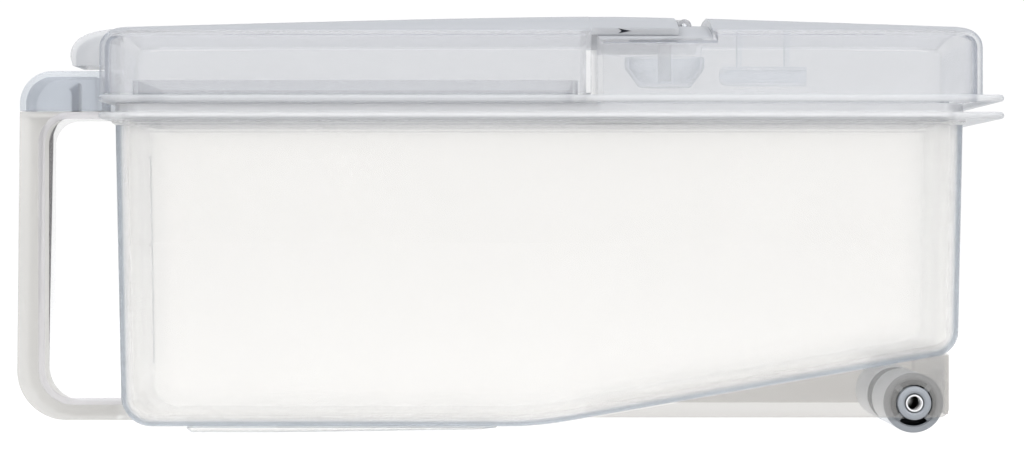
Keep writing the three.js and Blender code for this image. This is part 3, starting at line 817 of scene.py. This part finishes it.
def build_handle():
    half = LOOP_HIGH.y
    channel_half = half - 2
    sides = prism("handle_sides", loop_outline(0, 0), -half, half)
    channel = prism("channel", loop_outline(8, GRIP_THICK), -channel_half, channel_half)
    # The channel stops short of the tub and leaves a 2 mm skin under the cap
    leg_end = block("leg_end", -136, -100, -40, 40, -20, 130)
    skin = block("skin", -200, -100, -40, 40, BRIDGE_TOP - 2, 130)
    cut_all(channel, leg_end, skin)
    cut_all(sides, channel)
    join_all(sides, block("lip", BRIDGE_END - 3, BRIDGE_END, -half, half, RIM_LOW, BRIDGE_TOP))
    cut_all(sides, tub_plug(GAP))
    # The grip is the layer along the opening; the sides are what lies beyond it
    grip = new_object("handle_grip", [v.co / MM for v in sides.data.vertices],
                      [tuple(f.vertices) for f in sides.data.polygons])
    beyond_grip = prism("beyond_grip", loop_outline(8, GRIP_THICK), -half - 1, half + 1)
    grip_only = prism("grip_only", loop_outline(8, GRIP_THICK + 0.05), -half - 1, half + 1)
    behind = block("behind", -141.7, -130, -half - 1, half + 1, RIM_LOW - 1, BRIDGE_TOP + 1)
    combine(sides, beyond_grip, "INTERSECT")
    cut_all(grip, grip_only, behind)
    soften(sides, 0.4)
    soften(grip, 0.4)
    place(sides, "tank", HANDLE_PLASTIC, "clear_plastic", "handle_loop")
    place(grip, "tank", GRIP_PLASTIC, "clear_plastic")
    middle = Vector((GRIP_INNER + 14, 0, (LOOP_LOW.z + BRIDGE_TOP) / 2))
    face_with(grip, NEARLY_CLEAR, lambda c, n: n.y > -0.9)
    face_with(sides, NEARLY_CLEAR, lambda c, n: (
        abs(n.y) < 0.9 and c.z < BRIDGE_LOW and n.dot(middle - c) > 0))

    def cap_outline(inset, low):
        radius = 11.5
        points = [(CAP_HIGH.x, low), (CAP_HIGH.x, CAP_HIGH.z - inset)]
        points += arc(CAP_LOW.x + radius, CAP_HIGH.z - radius, radius - inset, 90, 180, 18)
        return points + [(CAP_LOW.x + inset, low)]

    cap = prism("handle_cover", cap_outline(0, CAP_LOW.z), -half, half)
    cut_all(cap, prism("inside", cap_outline(2, 105), -half + 2, half - 2))
    join_all(cap, block("back", CAP_HIGH.x - 5.4, CAP_HIGH.x - 3, -half, half, CAP_LOW.z, CAP_HIGH.z))
    soften(cap, 0.5)
    place(cap, "tank", CAP_PLASTIC, "cap_plastic", "handle_cap")

    low, high = box_mm("cap_hook")
    shank = high.x - 2.6
    hook = prism("cover_hook", [
        (shank, low.z), (high.x, low.z), (high.x, high.z), (low.x, high.z - 2.4), (shank, high.z - 3.2)
    ], low.y, high.y)
    soften(hook, 0.25)
    place(hook, "tank", HOOK_PLASTIC, "cap_plastic", "cap_hook")


# ---------------------------------------------------------------- lid

def frame_tube(name, rect_outer, corner_outer, rect_inner, corner_inner, z0, z1):
    """A rectangular collar with rounded corners."""
    rings = [
        flat_ring(rect_outer, corner_outer, z0),
        flat_ring(rect_outer, corner_outer, z1),
        flat_ring(rect_inner, corner_inner, z1),
        flat_ring(rect_inner, corner_inner, z0),
    ]
    return stack(name, rings, closed=True)


def build_lid():
    build_lid_frame()
    seal = frame_tube("seal_ring", (SEAL_LOW.x, SEAL_HIGH.x, SEAL_HIGH.y), 6.4,
                      (SEAL_LOW.x + 1.5, SEAL_HIGH.x - 1.5, SEAL_HIGH.y - 1.7), 6.2, SEAL_LOW.z, SEAL_HIGH.z)
    soften(seal, 0.3, 2)
    place(seal, "lid", SILICONE, "seal_silicone", "lid_seal")

    pin_half = PIN_HIGH.y
    pin_r = (PIN_HIGH.x - PIN_LOW.x) / 2
    pin = turned("hinge_pin", [
        (0, -pin_half), (pin_r - 0.3, -pin_half), (pin_r, -pin_half + 0.3),
        (pin_r, pin_half - 0.3), (pin_r - 0.3, pin_half), (0, pin_half),
    ], (HINGE_X, 0, HINGE_Z), "Y", 24, closed=False)
    place(pin, "lid", STEEL, "stainless", "flap_hinge_pin")


def build_lid_frame():
    tips = round_tip(FLANGE_RECT, FLANGE_CORNER, PLATE_LOW, PLATE_HIGH)
    plate = stack("lid_body", tips)
    ends = (False, True)
    dome = stack("dome", dome_rings(LID_SPLIT, LID_REAR, 0, PLATE_HIGH - 0.2, ends, BAND_FRONT))
    hollow = stack("hollow", dome_rings(LID_SPLIT, LID_REAR, THIN, PLATE_LOW - 2, ends, BAND_FRONT + THIN))
    knuckles = block("knuckles", HINGE_X - 5.5, HINGE_X + 6.5, -BARREL_HALF - EAR_WIDTH - GAP,
                     BARREL_HALF + EAR_WIDTH + GAP, HINGE_Z - 5, crown_at(HINGE_X, 30) - SHELF_DEPTH - 0.4)
    join_all(plate, dome)
    cut_all(plate, hollow)
    join_all(plate, knuckles)
    for side in (-1, 1):
        y0, y1 = sorted((side * (BARREL_HALF - 0.5), side * (BARREL_HALF + EAR_WIDTH)))
        join_all(plate, rod("ear", BARREL_R - 0.1, y0, y1, HINGE_X, HINGE_Z))
    reach = BARREL_HALF + GAP
    cut_all(plate, rod("room", BARREL_R + 0.9, -reach, reach, HINGE_X, HINGE_Z))
    collar_rect, collar_top = shrunk(FILLER_RECT, -THIN), 121
    join_all(plate, stack("collar", [flat_ring(collar_rect, 8, z) for z in (PLATE_LOW + 1, collar_top)]))
    cut_all(plate, stack("filler", [flat_ring(FILLER_RECT, 6.2, z) for z in (PLATE_LOW - 5, collar_top + 4)]))
    join_all(plate, frame_tube("seat", SEAT_RECT, 6, shrunk(SEAT_RECT, SEAT_WALL), 6 - SEAT_WALL,
                               LID_LOW.z, PLATE_LOW + 0.5))
    soften(plate, 0.25, 2)
    place(plate, "lid", LID_PLASTIC, "clear_plastic", "lid_frame")
    middle = Vector(((LID_SPLIT + LID_REAR) / 2, 0, PLATE_LOW))
    face_with(plate, LID_INSIDE, lambda c, n: (
        c.x > LID_SPLIT + 0.5
        and abs(c.y) < DOME_HALF - THIN / 2
        and n.dot(middle - c) > 0))
    face_with(plate, LID_CROWN_INSIDE, lambda c, n: (
        (c.z > SHOULDER - 4 and n.z < -0.8) or (LID_REAR - 3 < c.x < LID_REAR - 1 and n.x < -0.97)))
    # The crown's upward faces take the painted shade of the darker lid plastic
    face_with(plate, LID_TOP_PAINTED_SHADE, lambda c, n: c.z > SHOULDER - 4 and n.z > 0.75)
    face_with(plate, LID_FLANGE, lambda c, n: c.z < PLATE_HIGH + 0.1 and (
        abs(n.z) > 0.5 or abs(c.y) > DOME_HALF - THIN / 2 or c.x > LID_REAR - THIN / 2))
    face_with(plate, LID_CROWN_INSIDE, lambda c, n: LID_SPLIT - 1 < c.x < LID_SPLIT + 3 and abs(n.x) > 0.8)


def build_vent():
    radius = (CUP_HIGH.x - CUP_LOW.x) / 2
    centre = ((CUP_LOW.x + CUP_HIGH.x) / 2, 0, 0)
    base, rim, stem = CUP_LOW.z, CUP_LOW.z + 10.8, 2.6
    cup = turned("cup_body", [
        (0, base), (8.9, base), (9.4, base + 0.3), (radius - 0.3, base + 6.2), (radius, base + 6.8),
        (radius, rim - 0.4), (radius - 0.5, rim), (radius - 1.2, rim), (radius - 1.6, rim - 0.4),
        (radius - 1.6, base + 7.0), (8.4, base + 1.6), (stem + 0.5, base + 1.6), (stem, base + 2.2),
        (stem, CUP_HIGH.z), (0, CUP_HIGH.z),
    ], centre, "Z", 64, closed=False)
    place(cup, "lid", VENT_PLASTIC, "clear_plastic", "drip_cup")
    face_with(cup, NEARLY_CLEAR, lambda c, n: math.hypot(c.x - centre[0], c.y) < stem + 0.1)

    middle = (VENT_LOW.x + VENT_HIGH.x) / 2
    half = (VENT_HIGH.x - VENT_LOW.x) / 2
    axis_z = VENT_LOW.z + 3.5
    tube = turned("vent_body", [
        (2.3, half), (3.3, half), (3.5, half - 0.2), (3.5, -half + 2.6), (3.2, -half + 1.4),
        (2.2, -half + 0.3), (1.4, -half), (1.0, -half), (1.0, -half + 1.4), (2.3, -half + 3),
    ], (middle, 0, axis_z), "X", 48)
    for x in (middle - 8.5, middle + 8.5):
        join_all(tube, block("tab", x - 0.8, x + 0.8, -5, 5, axis_z + 3, VENT_HIGH.z - 0.4))
    soften(tube, 0.2, 2)
    place(tube, "lid", VENT_PLASTIC, "clear_plastic", "vent_tube")


# ---------------------------------------------------------------- flap

def build_flap():
    outer = dome_rings(FLANGE_FRONT, FLAP_REAR, 0, FLAP_BOTTOM, (True, False))
    inner = dome_rings(FLANGE_FRONT, FLAP_REAR, THIN, FLAP_BOTTOM, (True, False))
    flap = stack("flap_body", inner[::-1] + outer)
    # The tongue follows the curve of the crown, just under the lid's top, back to the barrel
    half, steps, columns = 65.5, 40, 12
    tongue_front, tongue_rear = FLAP_REAR - 1.5, HINGE_X - 3.4
    xs = [tongue_front + (tongue_rear - tongue_front) * i / columns for i in range(columns + 1)]
    verts, faces = [], []
    for x in xs:
        ys = [half * (1 - 2 * i / steps) for i in range(steps + 1)]
        verts += [(x, y, crown_at(x, y) - TONGUE_SINK) for y in ys]
        verts += [(x, y, crown_at(x, y) - TONGUE_SINK - TONGUE_THICK) for y in reversed(ys)]
    size = 2 * (steps + 1)
    for j in range(len(xs) - 1):
        for i in range(size):
            k = (i + 1) % size
            faces.append((j * size + i, j * size + k, (j + 1) * size + k, (j + 1) * size + i))
    for base in (0, (len(xs) - 1) * size):
        for i in range(steps):
            faces.append((base + i, base + i + 1, base + size - 2 - i, base + size - 1 - i))
    tongue = new_object("tongue", verts, faces)
    barrel = rod("barrel", BARREL_R, -BARREL_HALF, BARREL_HALF, HINGE_X, HINGE_Z)
    neck = block("neck", HINGE_X - 4, HINGE_X - 1, -BARREL_HALF, BARREL_HALF, HINGE_Z + 1.7, HINGE_Z + 2.5)
    bore = rod("bore", PIN_BORE, -BARREL_HALF - 1, BARREL_HALF + 1, HINGE_X, HINGE_Z)

    # The thumb lip at the front is a curved shell, open underneath
    lip_half, lip_steps = 20, 18

    def lip_outline(inset):
        start, end = Vector((FLANGE_FRONT + 1, 140.2 - inset)), Vector((FLAP_LOW.x + inset, 130.5))
        a, b = Vector((-146, 139.6 - inset)), Vector((FLAP_LOW.x + inset, 137.2 - inset))
        curve = []
        for i in range(lip_steps + 1):
            t = i / lip_steps
            curve.append(
                start * (1 - t) ** 3 + 3 * a * t * (1 - t) ** 2 + 3 * b * t * t * (1 - t) + end * t ** 3)
        low = 127.2 - inset * 3
        return [(FLANGE_FRONT + 1, low)] + [tuple(p) for p in curve] + [(FLAP_LOW.x + 0.8 + inset, low)]

    lip = prism("lip", lip_outline(0), -lip_half, lip_half)
    lip_hollow = prism("lip_hollow", lip_outline(THIN), THIN - lip_half, lip_half - THIN)
    cut_all(lip_hollow, block("stop", FLANGE_FRONT, FLANGE_FRONT + 20, -30, 30, 100, 160))
    cut_all(lip, lip_hollow)
    soften(lip, 0.5)
    join_all(flap, lip, tongue, barrel, neck)
    cut_all(flap, bore)
    soften(flap, 0.25, 2)
    place(flap, "flap", LID_PLASTIC, "clear_plastic", "filler_flap")
    middle = Vector(((FLANGE_FRONT + FLAP_REAR) / 2, 0, FLAP_BOTTOM - 10))
    face_with(flap, LID_INSIDE, lambda c, n: (
        FLANGE_FRONT < c.x < FLAP_REAR - 2
        and abs(c.y) < DOME_HALF - THIN / 2
        and n.dot(middle - c) > 0))
    face_with(flap, LID_CROWN_INSIDE, lambda c, n: (
        (c.x < FLAP_REAR and c.z > SHOULDER - 4 and n.z < -0.8)
        or (FLANGE_FRONT + 1 < c.x < FLANGE_FRONT + 3 and n.x > 0.97)))
    # The crown's upward faces take the painted shade of the darker lid plastic
    face_with(flap, LID_TOP_PAINTED_SHADE, lambda c, n: c.z > SHOULDER - 4 and n.z > 0.75)
    face_with(flap, LID_FLANGE, lambda c, n: c.x < FLANGE_FRONT or (
        c.x > FLAP_REAR and (abs(c.y) > 64 or (c.x > HINGE_X - 2.8 and n.z < 0.9))))
    face_with(flap, LID_CROWN_INSIDE, lambda c, n: FLAP_REAR - 3 < c.x < FLAP_REAR + 1 and abs(n.x) > 0.8)

    middle = (ARROW_LOW.z + ARROW_HIGH.z) / 2
    notch = 1.1
    arrow = prism("arrow_mark", [
        (ARROW_LOW.x, ARROW_HIGH.z),
        (ARROW_HIGH.x, middle),
        (ARROW_LOW.x, ARROW_LOW.z),
        (ARROW_LOW.x + notch, middle),
    ], -half - 0.15, -half + 0.1)
    place(arrow, "flap", DARK_PRINT, "dark_print", "flap_arrow")


# ---------------------------------------------------------------- scale on the front wall

def build_scale():
    x0 = TUB_FRONT + WALL + GAP
    x1 = x0 + 0.5
    spine_y, low, high, ticks = 50.0, SCALE_LOW.z + 0.5, SCALE_HIGH.z - 0.5, 8
    bars = [(spine_y - 0.5, spine_y + 0.5, low - 0.5, high + 0.5)]
    for i in range(ticks):
        z = low + (high - low) * i / (ticks - 1)
        bars.append((spine_y - 5, spine_y - 0.4, z - 0.5, z + 0.5))
    verts, faces = [], []
    for y0, y1, z0, z1 in bars:
        base = len(verts)
        corners = [(x, y, z) for x in (x0, x1) for y, z in ((y0, z0), (y1, z0), (y1, z1), (y0, z1))]
        verts += drafted(corners)
        faces += [tuple(base + i for i in f) for f in (
            (3, 2, 1, 0), (4, 5, 6, 7), (0, 1, 5, 4), (1, 2, 6, 5), (2, 3, 7, 6), (3, 0, 4, 7))]
    scale = new_object("scale_marks", verts, faces)
    soften(scale, 0.12, 2)
    place(scale, "tank", SCALE_PLASTIC, "scale_relief", "level_scale")


# ---------------------------------------------------------------- rollers

def build_rollers():
    outer = -ROLLER_LOW.y
    inner = -ROLLER_HIGH.y
    face = 59.9  # the ring's outer face, from the middle plane
    slots, slot_outer, slot_inner, slot_half_angle, slot_depth = 4, 7.9, 5.85, 37, 13
    profile = [
        (HUB_BORE, inner), (ROLLER_R - 0.5, inner), (ROLLER_R - 0.15, inner + 0.15), (ROLLER_R, inner + 0.5),
        (ROLLER_R, face - 0.9), (ROLLER_R - 0.25, face - 0.3), (ROLLER_R - 0.9, face),
        (8.3, face), (8.1, face - 0.5), (JOURNAL_R + 0.3, face - 0.5), (JOURNAL_R, face - 0.1),
        (JOURNAL_R, outer - 0.7), (JOURNAL_R - 0.2, outer - 0.2), (JOURNAL_R - 0.7, outer),
        (HUB_BORE + 0.7, outer), (HUB_BORE, outer - 0.5),
    ]
    for name, side in (("roller_right", -1), ("roller_left", 1)):
        rows = [(r, y * side) for r, y in profile]
        roller = turned(name + "_wheel", rows, (ROLLER_X, 0, ROLLER_Z), "Y", 96)
        for i in range(slots):
            start, end = 90 * i - slot_half_angle, 90 * i + slot_half_angle
            outline = arc(ROLLER_X, ROLLER_Z, slot_outer, start, end, 16)
            outline += arc(ROLLER_X, ROLLER_Z, slot_inner, end, start, 14)
            y0, y1 = sorted((side * (face - slot_depth), side * (face + 0.5)))
            cut_all(roller, prism("slot", outline, y0, y1))
        soften(roller, 0.15, 2)
        place(roller, "rollers", ROLLER_PLASTIC, "roller_plastic", name)
        # The long barrel takes the painted light that offsets its shade behind the skirt
        face_with(roller, BARREL_PAINTED_LIGHT, lambda c, n: (
            abs(c.y) < face - 2 and math.hypot(c.x - ROLLER_X, c.z - ROLLER_Z) > HUB_BORE + 1))
        # The slot walls take the painted shade of the deep recesses
        face_with(roller, SLOT_PAINTED_SHADE, lambda c, n: (
            slot_inner - 0.15 < math.hypot(c.x - ROLLER_X, c.z - ROLLER_Z) < slot_outer + 0.15
            and abs(c.y) < face - 0.7))

    half = TUBE_HIGH.y
    outer_r = (TUBE_HIGH.x - TUBE_LOW.x) / 2
    bore_r = 2.4
    rows = [(outer_r - 0.2, half), (outer_r, half - 0.2), (outer_r, -half + 0.2), (outer_r - 0.2, -half)]
    turns, pitch, depth = 14, 0.9, 0.3
    thread = [(bore_r, -half)]
    for i in range(turns):
        thread += [(bore_r, -half + pitch * (i + 0.25)), (bore_r + depth, -half + pitch * (i + 0.75))]
    thread += [(bore_r, -half + pitch * (turns + 0.5))]
    rows += thread + [(r, -y) for r, y in thread[::-1]]
    tube = turned("axle_body", rows, (ROLLER_X, 0, ROLLER_Z), "Y", 48)
    place(tube, "rollers", STEEL, "stainless", "axle_tube")


# ---------------------------------------------------------------- stage

def build_stage():
    scene = bpy.context.scene
    scene.view_settings.view_transform = "Standard"
    # Light from behind the tank passes through more thin walls than the usual limit of 8 allows
    scene.cycles.transparent_max_bounces = 32
    world = bpy.data.worlds.new("studio")
    scene.world = world
    world.use_nodes = True
    tree = world.node_tree
    background = tree.nodes["Background"]
    background.inputs["Strength"].default_value = 1.0
    # The world is white straight behind the tank and a soft blue grey everywhere else
    where = add_node(tree, "ShaderNodeTexCoord")
    split = add_node(tree, "ShaderNodeSeparateXYZ")
    ramp = add_node(tree, "ShaderNodeMapRange", interpolation_type="SMOOTHSTEP")
    ramp.inputs["From Min"].default_value = 0.9
    ramp.inputs["From Max"].default_value = 0.992
    mix = add_node(tree, "ShaderNodeMix", data_type="RGBA")
    mix.inputs["A"].default_value = (0.55, 0.575, 0.62, 1)
    mix.inputs["B"].default_value = (1.02, 1.02, 1.02, 1)
    tree.links.new(where.outputs["Generated"], split.inputs[0])
    tree.links.new(split.outputs["Y"], ramp.inputs["Value"])
    tree.links.new(ramp.outputs["Result"], mix.inputs["Factor"])
    tree.links.new(mix.outputs["Result"], background.inputs["Color"])

    bpy.ops.mesh.primitive_plane_add(size=30, location=(0, 0, 0))
    floor = bpy.context.object
    floor.name = "floor"
    mat, tree, shader = material("pale_floor")
    clouds = object_noise(tree, 0.6)
    mix = add_node(tree, "ShaderNodeMix", data_type="RGBA")
    mix.inputs["A"].default_value = (0.14, 0.14, 0.14, 1)
    mix.inputs["B"].default_value = (0.16, 0.16, 0.16, 1)
    tree.links.new(clouds.outputs[0], mix.inputs["Factor"])
    tree.links.new(mix.outputs["Result"], shader.inputs["Base Color"])
    shader.inputs["Roughness"].default_value = 0.8
    shader.inputs["Specular IOR Level"].default_value = 0.0
    shader.inputs["Emission Color"].default_value = (1, 1, 1, 1)
    shader.inputs["Emission Strength"].default_value = 0.97
    floor.data.materials.append(mat)

    for name, where, energy, size in (
        ("key", (-0.6, -1.2, 1.5), 13.0, (1.2, 1.2)),
        ("fill", (1.0, -0.8, 1.2), 8.0, (1.2, 1.2)),
        ("back", (0.0, 1.4, 1.3), 6.0, (1.6, 1.6)),
        ("strip", (0.0, -1.5, 0.6), 12.0, (2.0, 0.25)),
        ("overhead", (0.0, -0.15, 1.0), 4.5, (1.6, 0.3)),
    ):
        data = bpy.data.lights.new(name, "AREA")
        data.energy = energy
        data.shape = "RECTANGLE"
        data.size, data.size_y = size
        lamp = bpy.data.objects.new(name, data)
        scene.collection.objects.link(lamp)
        lamp.location = where
        aim = Vector((0, 0, 0.07)) - Vector(where)
        lamp.rotation_mode = "QUATERNION"
        lamp.rotation_quaternion = aim.to_track_quat("-Z", "Y")

    camera_data = bpy.data.cameras.new("camera")
    camera_data.sensor_width = 36
    camera_data.lens = 150.4
    camera = bpy.data.objects.new("camera", camera_data)
    scene.collection.objects.link(camera)
    camera.location = (0.0031, -1.526, 0.0714)
    camera.rotation_euler = (math.pi / 2, 0, 0)
    scene.camera = camera


build_stage()
build_tub()
build_skirts()
build_runners()
build_handle()
build_lid()
build_vent()
build_flap()
build_scale()
build_rollers()
